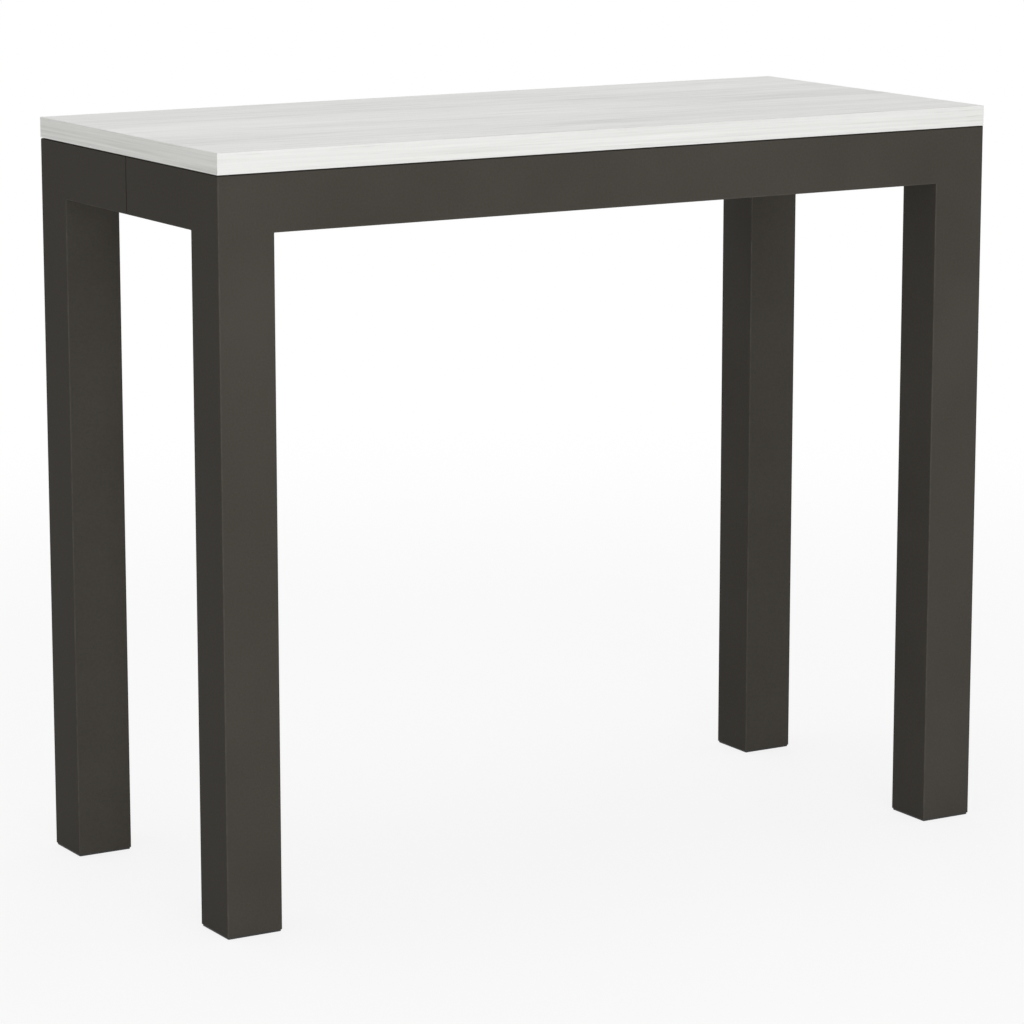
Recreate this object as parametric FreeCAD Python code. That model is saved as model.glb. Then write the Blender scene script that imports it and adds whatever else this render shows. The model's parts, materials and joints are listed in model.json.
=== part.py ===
# Extending console table. The front half carries the top and stays in place. The rear half
# pulls out behind it on two sets of telescopic rails, far enough to lay three leaves between.
# Frame: origin on the floor under the middle of the closed table, +X along the long side,
# +Y the way the rear half pulls out, +Z up. All sizes in millimetres.
import FreeCAD, Part
import math
import os

Vector = FreeCAD.Vector

# Closed table
table_width = 900.0
table_depth = 400.0
table_height = 770.0
top_thickness = 21.0
edge_band_thickness = 1.0
edge_band_radius = 0.5

# Legs and boards of the two half frames
leg_width = 60.0
leg_depth = 58.0
leg_edge_radius = 1.2
apron_height = 58.0
apron_thickness = 18.0
seam_gap = 2.0
slide_gap = 0.8
glide_height = 2.0
glide_inset = 0.8
glide_corner_radius = 1.5
glide_stem_radius = 3.0
glide_stem_length = 20.0

# Extension
leaf_depth = 520.0
leaf_count = 3
stage_count = 6

# Rail extrusion, the same for all rails
rail_height = 38.0
rail_width = 18.0
rail_wall = 2.0
rail_gap = 1.0
rail_slack = 2.0
rail_drop = 1.0
lip_depth = 3.0
mouth_height = 10.0
slot_height = 22.0
slot_depth = 6.5
neck_clearance = 0.5
head_thickness = 3.4
head_height = 16.0

# Nylon guides on the rails
cap_length = 8.0
cap_clearance = 0.4
stub_length = 10.0
stub_clearance = 0.1
shoe_clearance = 0.3
stop_clearance = 0.3

# Steel braces, brackets, bars and angles
plate_thickness = 2.5
brace_height = 34.0
brace_flange = 28.0
brace_leg_gap = 6.0
brace_bar_gap = 2.0
bracket_ear = 24.0
bracket_shelf = 60.0
bracket_gap = 3.5
bar_depth = 30.0
bar_height = 15.0
bar_wall = 1.5
bar_gap = 1.0
bar_seam_distance = 3.0
angle_leg = 20.0
angle_thickness = 2.0
angle_rail_gap = 25.0
angle_seam_distance = 3.0

# Fasteners
screw_radius = 2.0
screw_length = 14.0
screw_tip = 4.0
screw_tip_radius = 0.5
screw_head_radius = 4.0
screw_head_height = 2.4
screw_spacing = 22.0
rail_screw_radius = 2.5
rail_screw_reach = 3.5
rail_screw_collar = 5.0
hole_clearance = 0.3
bolt_radius = 4.0
bolt_in_leg = 40.0
bolt_end = 6.0
nut_across_flats = 13.0
nut_height = 6.5
nut_flange_radius = 9.0
nut_flange_height = 1.5
thread_clearance = 0.1
dowel_radius = 4.0
dowel_in_leg = 14.0
dowel_in_board = 16.0
pin_radius = 5.0
pin_clearance = 0.3
pin_collar_radius = 7.0
pin_collar_clearance = 0.1
pin_seat = 20.0
pin_reach = 12.0
pin_taper = 4.0
pin_tip_radius = 3.0

# Values that follow from the sizes above
half_width = table_width / 2
half_depth = table_depth / 2
top_underside = table_height - top_thickness
apron_bottom = top_underside - apron_height
apron_middle = apron_bottom + apron_height / 2
inner_width = half_width - apron_thickness
inner_depth = half_depth - apron_thickness
leg_inner_x = half_width - leg_width
leg_inner_y = half_depth - leg_depth
board_middle_x = half_width - apron_thickness / 2
board_middle_y = half_depth - apron_thickness / 2
stage_travel = leaf_depth * leaf_count / stage_count
rail_pitch = rail_width + rail_gap
rail_length = 2 * (inner_depth - plate_thickness) - rail_slack
rail_step = rail_slack / stage_count
rail_top = top_underside - rail_drop
rail_bottom = rail_top - rail_height
rail_middle = rail_top - rail_height / 2
neck_height = mouth_height - 2 * neck_clearance
neck_length = rail_gap + lip_depth + neck_clearance
shoe_height = slot_height - 2 * shoe_clearance
shoe_wall = slot_depth - neck_clearance - head_thickness - shoe_clearance
shoe_length = rail_length - cap_length - stage_travel - rail_step - stop_clearance
brace_offset = brace_leg_gap * math.sqrt(2)
brace_reach_x = brace_offset + leg_depth - apron_thickness + brace_flange
brace_reach_y = brace_offset + leg_width - apron_thickness + brace_flange
first_rail_x = leg_inner_x - brace_reach_x - bracket_gap - bracket_ear - rail_width / 2
bar_top = rail_bottom - bar_gap
bar_bottom = bar_top - bar_height
bar_ear = 2 * (screw_head_radius + hole_clearance)
bar_near = seam_gap / 2 + bar_seam_distance + bar_ear
bar_middle = bar_near + bar_depth / 2
brace_middle = bar_top + brace_bar_gap + brace_height / 2
tongue_reach = rail_width / 2 + neck_length + head_thickness
last_rail_x = first_rail_x - stage_count * rail_pitch
angle_x = last_rail_x - tongue_reach - angle_rail_gap - angle_leg / 2
angle_y = seam_gap / 2 + angle_seam_distance + angle_leg / 2

left, right = -1, 1
front, rear = -1, 1
sides = (left, right)
x_axis = Vector(1, 0, 0)
y_axis = Vector(0, 1, 0)
z_axis = Vector(0, 0, 1)
tolerance = 1e-3


def block(x, y, z):
    """Box between the two ends given along each axis, in either order."""
    corner = Vector(min(x), min(y), min(z))
    return Part.makeBox(abs(x[1] - x[0]), abs(y[1] - y[0]), abs(z[1] - z[0]), corner)


def prism(outline, sweep):
    """Solid swept along a vector from a flat closed outline."""
    return Part.Face(Part.makePolygon(outline + outline[:1])).extrude(sweep)


def turned(profile, start, direction):
    """Solid turned about an axis, from (radius, distance along the axis) points."""
    ends = [(0, profile[0][1])] + profile + [(0, profile[-1][1])]
    outline = [Vector(radius, 0, along) for radius, along in ends]
    face = Part.Face(Part.makePolygon(outline + outline[:1]))
    solid = face.revolve(Vector(), z_axis, 360)
    solid.Placement = FreeCAD.Placement(start, FreeCAD.Rotation(z_axis, direction))
    return solid


def rod(start, direction, radius, length):
    return Part.makeCylinder(radius, length, start, direction)


def joined(first, others):
    return first.fuse(others).removeSplitter()


def drilled(solid, cutters):
    return solid.cut(cutters).removeSplitter()


def rounded(solid, radius, chosen):
    return solid.makeFillet(radius, [edge for edge in solid.Edges if chosen(edge)])


def runs_along(edge, axis):
    return abs(edge.tangentAt(edge.FirstParameter).dot(axis)) > 1 - tolerance


def is_upright(edge):
    return runs_along(edge, z_axis)


def frame_top(half):
    """Upper edge of a half frame. The rear one passes under the top with a gap."""
    return top_underside - (slide_gap if half == rear else 0)


def held_rail(half):
    """Number of the rail that a half frame holds, counted from the front half's."""
    return 0 if half == front else stage_count


def rail_x(number):
    """Distance of a rail's middle plane from the middle of the table."""
    return first_rail_x - number * rail_pitch


# Fasteners

def wood_screw(seat, direction):
    """Pan head screw. The seat is the point under the head, the direction points to the tip."""
    profile = [
        (screw_head_radius, -screw_head_height),
        (screw_head_radius, 0),
        (screw_radius, 0),
        (screw_radius, screw_length - screw_tip),
        (screw_tip_radius, screw_length),
    ]
    return turned(profile, seat, direction)


def screw_hole(seat, direction):
    """Clearance hole through the plate that lies under a screw head."""
    return rod(seat, direction, screw_radius + hole_clearance, plate_thickness)


def rail_screw(x, y, seat):
    """Machine screw that holds a rail from below, with a collar where a gap is left under it."""
    profile = [
        (screw_head_radius, -screw_head_height),
        (screw_head_radius, 0),
        (rail_screw_radius, 0),
        (rail_screw_radius, rail_bottom - seat + rail_screw_reach),
    ]
    screw = turned(profile, Vector(x, y, seat), z_axis)
    if seat > bar_bottom:
        return screw
    return joined(screw, [rod(Vector(x, y, bar_top), z_axis, rail_screw_collar, bar_gap)])


def rail_screw_hole(x, y, seat, thickness):
    return rod(Vector(x, y, seat), z_axis, rail_screw_radius + hole_clearance, thickness)


def dowels(half):
    """Dowels between the legs and the boards of one half frame, two at each joint."""
    length = dowel_in_leg + dowel_in_board
    made = []
    for side in sides:
        for z in pair_of_levels(apron_middle):
            start = Vector(side * (leg_inner_x + dowel_in_leg), half * board_middle_y, z)
            made.append(rod(start, x_axis * -side, dowel_radius, length))
            start = Vector(side * board_middle_x, half * (leg_inner_y + dowel_in_leg), z)
            made.append(rod(start, y_axis * -half, dowel_radius, length))
    return made


def pair_of_levels(middle):
    """Heights of two fasteners that sit one above the other."""
    return (middle - screw_spacing / 2, middle + screw_spacing / 2)


def alignment_pin(side):
    """Tapered pin across the side seam, with a collar that stops the rear half when it closes."""
    collar_end = pin_seat + seam_gap - pin_collar_clearance
    length = pin_seat + seam_gap + pin_reach
    profile = [
        (pin_radius, 0),
        (pin_radius, pin_seat),
        (pin_collar_radius, pin_seat),
        (pin_collar_radius, collar_end),
        (pin_radius, collar_end),
        (pin_radius, length - pin_taper),
        (pin_tip_radius, length),
    ]
    start = Vector(side * board_middle_x, -seam_gap / 2 - pin_seat, apron_middle)
    return turned(profile, start, y_axis)


def pin_bore(side):
    """Blind hole in the rear side board that an alignment pin enters."""
    start = Vector(side * board_middle_x, seam_gap / 2, apron_middle)
    return rod(start, y_axis, pin_radius + pin_clearance, pin_reach + pin_clearance)


# Corner joint: a bent brace across the corner draws the leg against the boards

def corner_point(side, half, across, along, z):
    """Point counted inward in X and in Y from the inner corner of a leg."""
    return Vector(side * (leg_inner_x - across), half * (leg_inner_y - along), z)


def inward(side, half):
    return Vector(-side, -half, 0).normalize()


def brace_screw_places(side, half):
    places = []
    for z in pair_of_levels(brace_middle):
        x = side * (leg_inner_x - brace_reach_x + brace_flange / 2)
        y = half * (inner_depth - plate_thickness)
        places.append((Vector(x, y, z), y_axis * half))
        x = side * (inner_width - plate_thickness)
        y = half * (leg_inner_y - brace_reach_y + brace_flange / 2)
        places.append((Vector(x, y, z), x_axis * side))
    return places


def corner_brace(side, half):
    back_x = apron_thickness - leg_width
    back_y = apron_thickness - leg_depth
    bend = plate_thickness * (math.sqrt(2) - 1)
    plan = [
        (brace_reach_x, back_y),
        (brace_offset - back_y, back_y),
        (back_x, brace_offset - back_x),
        (back_x, brace_reach_y),
        (back_x + plate_thickness, brace_reach_y),
        (back_x + plate_thickness, brace_offset - back_x + bend),
        (brace_offset - back_y + bend, back_y + plate_thickness),
        (brace_reach_x, back_y + plate_thickness),
    ]
    bottom = brace_middle - brace_height / 2
    outline = [corner_point(side, half, across, along, bottom) for across, along in plan]
    brace = prism(outline, z_axis * brace_height)
    start = corner_point(side, half, 0, 0, brace_middle)
    bolt_hole = rod(start, inward(side, half), bolt_radius + hole_clearance, brace_reach_x)
    holes = [screw_hole(*place) for place in brace_screw_places(side, half)]
    return drilled(brace, [bolt_hole] + holes)


def leg_bolt(side, half):
    away = inward(side, half)
    corner = corner_point(side, half, 0, 0, brace_middle)
    length = bolt_in_leg + brace_leg_gap + plate_thickness + nut_flange_height + nut_height + bolt_end
    return rod(corner - away * bolt_in_leg, away, bolt_radius, length)


def leg_nut(side, half):
    away = inward(side, half)
    across = Vector(-away.y, away.x, 0)
    corner = corner_point(side, half, 0, 0, brace_middle)
    seat = corner + away * (brace_leg_gap + plate_thickness)
    flange = rod(seat, away, nut_flange_radius, nut_flange_height)
    base = seat + away * nut_flange_height
    reach = nut_across_flats / math.sqrt(3)
    outline = []
    for step in range(6):
        angle = math.radians(60 * step)
        outline.append(base + across * (reach * math.cos(angle)) + z_axis * (reach * math.sin(angle)))
    body = joined(prism(outline, away * nut_height), [flange])
    bore = rod(seat, away, bolt_radius + thread_clearance, nut_flange_height + nut_height)
    return drilled(body, [bore])


# Half frames

def leg_glide(side, half):
    """Foot plate under a leg, with a stem that sits in the leg's end grain."""
    x = (side * (leg_inner_x + glide_inset), side * (half_width - glide_inset))
    y = (half * (leg_inner_y + glide_inset), half * (half_depth - glide_inset))
    plate = rounded(block(x, y, (0, glide_height)), glide_corner_radius, is_upright)
    middle = Vector(side * (half_width - leg_width / 2), half * (half_depth - leg_depth / 2), 0)
    stem = rod(middle, z_axis, glide_stem_radius, glide_height + glide_stem_length)
    return joined(plate, [stem])


def leg(side, half, cutters):
    """Post with eased edges. Beside the boards only the outer corner is eased."""
    x = (side * leg_inner_x, side * half_width)
    y = (half * leg_inner_y, half * half_depth)

    def is_outer(edge):
        middle = edge.CenterOfMass
        outside = min(abs(middle.x) - half_width, abs(middle.y) - half_depth)
        return is_upright(edge) and outside > -tolerance

    lower = rounded(block(x, y, (glide_height, apron_bottom)), leg_edge_radius, is_upright)
    upper = rounded(block(x, y, (apron_bottom, frame_top(half))), leg_edge_radius, is_outer)
    return drilled(joined(lower, [upper]), cutters)


def long_apron(half, cutters):
    x = (-leg_inner_x, leg_inner_x)
    y = (half * inner_depth, half * half_depth)
    return drilled(block(x, y, (apron_bottom, frame_top(half))), cutters)


def side_board(side, half, cutters):
    x = (side * inner_width, side * half_width)
    y = (half * seam_gap / 2, half * leg_inner_y)
    return drilled(block(x, y, (apron_bottom, frame_top(half))), cutters)


def bar_screw_places(side, half):
    """Two screws in each end plate of a cross bar, one in the ear past each face of its tube."""
    reach = (bar_depth + bar_ear) / 2
    x = side * (inner_width - plate_thickness)
    z = bar_bottom + bar_height / 2
    return [(Vector(x, half * (bar_middle + step * reach), z), x_axis * side) for step in (-1, 1)]


def cross_bar(half):
    """Steel tube that closes a half frame under the rails, with a plate at each end."""
    y = (half * bar_near, half * (bar_near + bar_depth))
    inner_y = (half * (bar_near + bar_wall), half * (bar_near + bar_depth - bar_wall))
    tube = block((-inner_width, inner_width), y, (bar_bottom, bar_top))
    hollow = block((-inner_width, inner_width), inner_y, (bar_bottom + bar_wall, bar_top - bar_wall))
    plate_y = (half * (bar_near - bar_ear), half * (bar_near + bar_depth + bar_ear))
    plates = []
    holes = []
    for side in sides:
        x = (side * (inner_width - plate_thickness), side * inner_width)
        plates.append(block(x, plate_y, (bar_bottom, bar_top)))
        holes += [screw_hole(*place) for place in bar_screw_places(side, half)]
        x = side * rail_x(held_rail(half))
        holes.append(rail_screw_hole(x, half * bar_middle, bar_bottom, bar_height))
    return drilled(joined(tube.cut(hollow), plates), holes)


def bracket_screw_places(side, half):
    """Two screws in the ear of a rail bracket, one above the other."""
    ear_middle = rail_width / 2 + bracket_ear / 2
    x = side * (rail_x(held_rail(half)) + ear_side(half) * ear_middle)
    y = half * (inner_depth - plate_thickness)
    return [(Vector(x, y, z), y_axis * half) for z in pair_of_levels(rail_middle)]


def ear_side(half):
    """The ear stands clear of the other rails: outward in front, toward the middle behind."""
    return 1 if half == front else -1


def rail_bracket(side, half):
    """Angle that carries the end of the rail a half frame holds."""
    middle = rail_x(held_rail(half))
    ear = ear_side(half)
    face = inner_depth - plate_thickness
    shelf_bottom = rail_bottom - plate_thickness
    plain_edge = middle - ear * rail_width / 2
    ear_start = middle + ear * rail_width / 2
    shelf_x = (side * plain_edge, side * ear_start)
    plate_x = (side * plain_edge, side * (ear_start + ear * bracket_ear))
    plate = block(plate_x, (half * face, half * inner_depth), (shelf_bottom, rail_top))
    shelf = block(shelf_x, (half * (face - bracket_shelf), half * face), (shelf_bottom, rail_bottom))
    holes = [screw_hole(*place) for place in bracket_screw_places(side, half)]
    for y in shelf_screw_depths():
        holes.append(rail_screw_hole(side * middle, half * y, shelf_bottom, plate_thickness))
    return drilled(joined(plate, [shelf]), holes)


def shelf_screw_depths():
    face = inner_depth - plate_thickness
    return (face - bracket_shelf / 4, face - bracket_shelf * 3 / 4)


def rail_screws(half):
    """Screws that hold the outermost rails to their brackets and to the cross bar."""
    made = []
    for side in sides:
        x = side * rail_x(held_rail(half))
        made += [rail_screw(x, half * y, rail_bottom - plate_thickness) for y in shelf_screw_depths()]
        made.append(rail_screw(x, half * bar_middle, bar_bottom))
    return made


# Telescopic rails, numbered from the front half's to the rear half's

def rail_start(number):
    """Where a rail's tail lies along Y. Each rail is set a little further back than the last."""
    return -(inner_depth - plate_thickness) + number * rail_step


def rail_section(side, number, y, points):
    """Points counted across a rail toward the middle of the table, and up from its middle."""
    return [Vector(side * (rail_x(number) - across), y, rail_middle + up) for across, up in points]


def slotted_outline(mouth, inner_start, inner, inner_end):
    """Outline of a rail body with a T slot in its outer face, as (across, up) points."""
    face = rail_width / 2
    height = rail_height / 2
    return [
        (-face, mouth),
        (inner_start, mouth),
        (inner_start, inner),
        (inner_end, inner),
        (inner_end, -inner),
        (inner_start, -inner),
        (inner_start, -mouth),
        (-face, -mouth),
        (-face, -height),
        (face, -height),
        (face, height),
        (-face, height),
    ]


def tongue_outline():
    face = rail_width / 2
    neck = neck_height / 2
    head = head_height / 2
    head_start = face + neck_length
    head_end = head_start + head_thickness
    return [
        (face, -neck),
        (head_start, -neck),
        (head_start, -head),
        (head_end, -head),
        (head_end, head),
        (head_start, head),
        (head_start, neck),
        (face, neck),
    ]


def chamber_outlines(clearance=0):
    """Hollows of the extrusion above and below the slot, or what plugs them."""
    across = rail_width / 2 - rail_wall - clearance
    low = slot_height / 2 + rail_wall + clearance
    high = rail_height / 2 - rail_wall - clearance
    made = []
    for up in (1, -1):
        made.append([(-across, up * low), (across, up * low), (across, up * high), (-across, up * high)])
    return made


def core_outline(slot_end):
    """Hollow of the extrusion behind the slot, between its floor and the tongue."""
    across = (slot_end + rail_wall, rail_width / 2 - rail_wall)
    up = slot_height / 2
    return [(across[0], -up), (across[1], -up), (across[1], up), (across[0], up)]


def rail(side, number, cutters):
    tail = rail_start(number) + (cap_length if number > 0 else 0)
    sweep = y_axis * (rail_start(number) + rail_length - tail)
    slot_start = lip_depth - rail_width / 2
    slot_end = slot_start + slot_depth
    body = slotted_outline(mouth_height / 2, slot_start, slot_height / 2, slot_end)
    hollow_outlines = chamber_outlines() + [core_outline(slot_end)]
    solid = prism(rail_section(side, number, tail, body), sweep)
    tongue = prism(rail_section(side, number, tail, tongue_outline()), sweep)
    hollows = [prism(rail_section(side, number, tail, points), sweep) for points in hollow_outlines]
    return drilled(joined(solid, [tongue]), hollows + cutters)


def tail_cap(side, number):
    """Nylon end of a rail. It runs on the next outer rail's tongue, and its shoe can't pass it."""
    start = rail_start(number)
    mouth = neck_height / 2 + cap_clearance
    head_start = lip_depth + neck_clearance - rail_width / 2
    opening = head_height / 2 + cap_clearance
    outline = slotted_outline(
        mouth, head_start - cap_clearance, opening, head_start + head_thickness + cap_clearance
    )
    plate = prism(rail_section(side, number, start, outline), y_axis * cap_length)
    stubs = []
    for points in chamber_outlines(stub_clearance):
        at_plate = rail_section(side, number, start + cap_length, points)
        stubs.append(prism(at_plate, y_axis * stub_length))
    return joined(plate, stubs)


def nose_shoe(side, number):
    """Nylon shoe around the tongue's head at the far end of a rail, running in the next slot."""
    start = rail_start(number) + rail_length - shoe_length
    head_start = rail_width / 2 + neck_length
    head_end = head_start + head_thickness
    outer = shoe_height / 2
    head = head_height / 2
    outline = [
        (head_start, head),
        (head_end, head),
        (head_end, -head),
        (head_start, -head),
        (head_start, -outer),
        (head_end + shoe_wall, -outer),
        (head_end + shoe_wall, outer),
        (head_start, outer),
    ]
    return prism(rail_section(side, number, start, outline), y_axis * shoe_length)


def rail_guides(side, number):
    made = []
    if number > 0:
        made.append(tail_cap(side, number))
    if number < stage_count:
        made.append(nose_shoe(side, number))
    return made


# Top

def angle_places():
    """Inner corners of the fixing angles under the top, with the way each one opens."""
    places = []
    for side in sides:
        places.append((Vector(side * angle_x, -inner_depth, top_underside), y_axis))
        places.append((Vector(side * inner_width, -angle_y, top_underside), x_axis * -side))
    return places


def fixing_angle(corner, opening):
    along = z_axis.cross(opening) * angle_leg
    drop = z_axis * -1
    reach = opening * angle_leg
    wall = opening * angle_thickness
    plan = [
        Vector(),
        reach,
        reach + drop * angle_thickness,
        wall + drop * angle_thickness,
        wall + drop * angle_leg,
        drop * angle_leg,
    ]
    solid = prism([corner - along / 2 + point for point in plan], along)
    return drilled(solid, [screw_hole(*place) for place in angle_screw_places(corner, opening)])


def angle_screw_places(corner, opening):
    middle = (angle_leg + angle_thickness) / 2
    in_board = corner + opening * angle_thickness - z_axis * middle
    in_top = corner + opening * middle - z_axis * angle_thickness
    return [(in_board, opening * -1), (in_top, z_axis)]


def top_board(cutters):
    x = half_width - edge_band_thickness
    y = half_depth - edge_band_thickness
    return drilled(block((-x, x), (-y, y), (top_underside, table_height)), cutters)


def top_edge_bands():
    """Two long bands over the full width, two short ones between them."""
    z = (top_underside, table_height)
    inner_x = half_width - edge_band_thickness
    inner_y = half_depth - edge_band_thickness

    def is_long_outer(edge):
        return runs_along(edge, x_axis) and abs(edge.CenterOfMass.y) > half_depth - tolerance

    def is_short_outer(edge):
        return runs_along(edge, y_axis) and abs(edge.CenterOfMass.x) > half_width - tolerance

    made = []
    for side in sides:
        long_band = block((-half_width, half_width), (side * inner_y, side * half_depth), z)
        short_band = block((side * inner_x, side * half_width), (-inner_y, inner_y), z)
        made.append(rounded(long_band, edge_band_radius, is_long_outer))
        made.append(rounded(short_band, edge_band_radius, is_short_outer))
    return made


# Assembly: fasteners first, since each board is drilled by the ones that enter it

def screw_places(half):
    places = []
    for side in sides:
        places += brace_screw_places(side, half)
        places += bar_screw_places(side, half)
        places += bracket_screw_places(side, half)
    if half == front:
        for corner, opening in angle_places():
            places += angle_screw_places(corner, opening)
    return places


def half_frame(half, name):
    """All nodes of one half frame without its rails."""
    screws = [wood_screw(*place) for place in screw_places(half)]
    pegs = dowels(half)
    bolts = [leg_bolt(side, half) for side in sides]
    glides = [leg_glide(side, half) for side in sides]
    pins = [alignment_pin(side) for side in sides]
    seam_cutters = pins if half == front else [pin_bore(side) for side in sides]
    nodes = {
        name + "_apron": [long_apron(half, screws + pegs)],
        name + "_leg_glides": glides,
        name + "_corner_braces": [corner_brace(side, half) for side in sides],
        name + "_leg_bolts": bolts,
        name + "_leg_nuts": [leg_nut(side, half) for side in sides],
        name + "_cross_bar": [cross_bar(half)],
        name + "_rail_brackets": [rail_bracket(side, half) for side in sides],
        name + "_wood_screws": screws,
        name + "_rail_screws": rail_screws(half),
        name + "_dowels": pegs,
    }
    for side, word in ((left, "left"), (right, "right")):
        nodes[word + "_" + name + "_side"] = [side_board(side, half, screws + pegs + seam_cutters)]
        nodes[name + "_" + word + "_leg"] = [leg(side, half, pegs + bolts + glides)]
    if half == front:
        nodes["alignment_pins"] = pins
        nodes["top_board"] = [top_board(screws)]
        nodes["top_edge_bands"] = top_edge_bands()
        nodes["top_fixing_angles"] = [fixing_angle(*place) for place in angle_places()]
    return nodes


def rail_sets():
    nodes = {}
    for side, word in ((left, "left"), (right, "right")):
        for number in range(stage_count + 1):
            holders = [half for half in (front, rear) if number == held_rail(half)]
            cutters = [screw for half in holders for screw in rail_screws(half)]
            name = word + "_rail_" + str(number + 1)
            nodes[name] = [rail(side, number, cutters)]
            nodes[name + "_guides"] = rail_guides(side, number)
    return nodes


nodes = {}
nodes.update(half_frame(front, "front"))
nodes.update(half_frame(rear, "rear"))
nodes.update(rail_sets())

os.makedirs("parts", exist_ok=True)
for name, solids in nodes.items():
    shape = solids[0] if len(solids) == 1 else Part.makeCompound(solids)
    shape.exportStep("parts/" + name + ".step")
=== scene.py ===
import bpy
import bmesh
import json
import math
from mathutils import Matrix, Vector


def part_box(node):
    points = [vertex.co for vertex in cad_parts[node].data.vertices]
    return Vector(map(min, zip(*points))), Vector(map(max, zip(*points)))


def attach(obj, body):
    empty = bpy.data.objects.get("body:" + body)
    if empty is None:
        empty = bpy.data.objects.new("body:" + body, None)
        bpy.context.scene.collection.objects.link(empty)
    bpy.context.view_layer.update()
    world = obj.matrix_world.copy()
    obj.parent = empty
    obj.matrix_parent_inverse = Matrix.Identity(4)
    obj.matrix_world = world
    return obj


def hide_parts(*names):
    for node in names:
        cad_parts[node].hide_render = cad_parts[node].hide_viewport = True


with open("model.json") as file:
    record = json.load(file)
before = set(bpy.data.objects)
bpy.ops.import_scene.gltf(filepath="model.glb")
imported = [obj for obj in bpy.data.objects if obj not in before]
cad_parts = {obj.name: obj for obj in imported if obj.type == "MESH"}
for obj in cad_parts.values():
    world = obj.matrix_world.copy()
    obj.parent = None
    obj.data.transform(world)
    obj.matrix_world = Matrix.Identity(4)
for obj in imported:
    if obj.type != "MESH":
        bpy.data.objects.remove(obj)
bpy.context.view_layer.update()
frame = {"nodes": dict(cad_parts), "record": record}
nodes = frame["nodes"]
bodyOf = {name: body for body, names in frame["record"]["behaviour"]["bodies"].items() for name in names}
slotOf = {part["node"]: part["material_slot"] for part in frame["record"]["subparts"]}
apronLow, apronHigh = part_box("front_apron")
legLow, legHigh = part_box("front_right_leg")
halves = ("front", "rear")
hands = ("left", "right")
xAxis, yAxis, zAxis = range(3)
upward = Vector((0, 0, 1))


def screenColour(red, green, blue):  # screen values 0-255, as linear light
    shares = [value / 255 for value in (red, green, blue)]
    return tuple(s / 12.92 if s <= 0.04045 else ((s + 0.055) / 1.055) ** 2.4 for s in shares) + (1.0,)


def addObject(name, data):
    made = bpy.data.objects.new(name, data)
    bpy.context.scene.collection.objects.link(made)
    return made


def put(tree, kind, feeds=None, **settings):  # one node, its settings, then its values or links
    node = tree.nodes.new(kind)
    for name, value in settings.items():
        setattr(node, name, value)
    for name, value in (feeds or {}).items():
        if isinstance(value, bpy.types.NodeSocket):
            tree.links.new(value, node.inputs[name])
        else:
            node.inputs[name].default_value = value
    return node


def calc(tree, operation, *values):
    return put(tree, "ShaderNodeMath", dict(enumerate(values)), operation=operation).outputs[0]


def between(tree, value, fromRange, toRange=(0, 1), smooth=False):  # map one range on another, clamped
    feeds = {"Value": value, "From Min": fromRange[0], "From Max": fromRange[1]}
    feeds.update({"To Min": toRange[0], "To Max": toRange[1]})
    kind = "SMOOTHSTEP" if smooth else "LINEAR"
    return put(tree, "ShaderNodeMapRange", feeds, interpolation_type=kind).outputs[0]


def weighted(tree, values, weights):  # two values added up by their weights
    return calc(tree, "ADD", *[calc(tree, "MULTIPLY", *pair) for pair in zip(values, weights)])


def openShader(holder):  # the emptied shader tree of a material or a world
    holder.use_nodes = True
    holder.node_tree.nodes.clear()
    return holder.node_tree


# camera, light and floor

cameraSet = {
    "stand": (-2.1770, -3.6318, 1.1880),
    "turn": 30.85,  # degrees from the table's depth toward its width
    "tilt": 11.24,  # degrees down
    "lens": 143.7,
    "sensor": 36.0,
    "sight": 200.0,  # metres
}


def standCamera(look):
    camera = addObject("camera", bpy.data.cameras.new("camera"))
    camera.data.lens = look["lens"]
    camera.data.sensor_width = look["sensor"]
    camera.data.clip_end = look["sight"]
    camera.location = look["stand"]
    camera.rotation_euler = (math.radians(90 - look["tilt"]), 0, math.radians(-look["turn"]))
    bpy.context.scene.camera = camera


studio = {
    "roomLight": 0.50,  # even light from all round
    "white": (1, 1, 1, 1),
    "floorColour": (0.80, 0.80, 0.80, 1),
    "floorGlow": (0.84, 1.0),  # share of plain white near the table and further off
    "glowReach": (0.9, 2.6),  # metres from the table's middle
    "floorSize": 60.0,
    "floorDrop": 0.0004,
    "aim": (0, 0, 0.5),
    "lamps": {
        "frontSoftbox": {"at": (-0.2, -4.7, 1.5), "size": 3.4, "watts": 73},
        "lowFill": {"at": (-2.0, -6.0, 0.30), "size": 1.7, "watts": 176},
        "rearFill": {"at": (2.4, 4.6, 0.39), "size": 0.72, "watts": 80},
        "topSoftbox": {"at": (-0.3, 0.5, 4.2), "size": 3.0, "watts": 53},
    },
}


def seenDirectly(tree):  # 1 for what the eye, a reflection or clear stuff sees of the room
    path = put(tree, "ShaderNodeLightPath")
    either = calc(tree, "MAXIMUM", path.outputs["Is Camera Ray"], path.outputs["Is Glossy Ray"])
    return calc(tree, "MAXIMUM", either, path.outputs["Is Transmission Ray"])


def lightRoom(look):
    world = bpy.data.worlds.new("room")
    bpy.context.scene.world = world
    tree = openShader(world)
    strength = between(tree, seenDirectly(tree), (0, 1), (look["roomLight"], 1))
    light = put(tree, "ShaderNodeBackground", {"Color": look["white"], "Strength": strength})
    put(tree, "ShaderNodeOutputWorld", {"Surface": light.outputs[0]})


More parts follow.
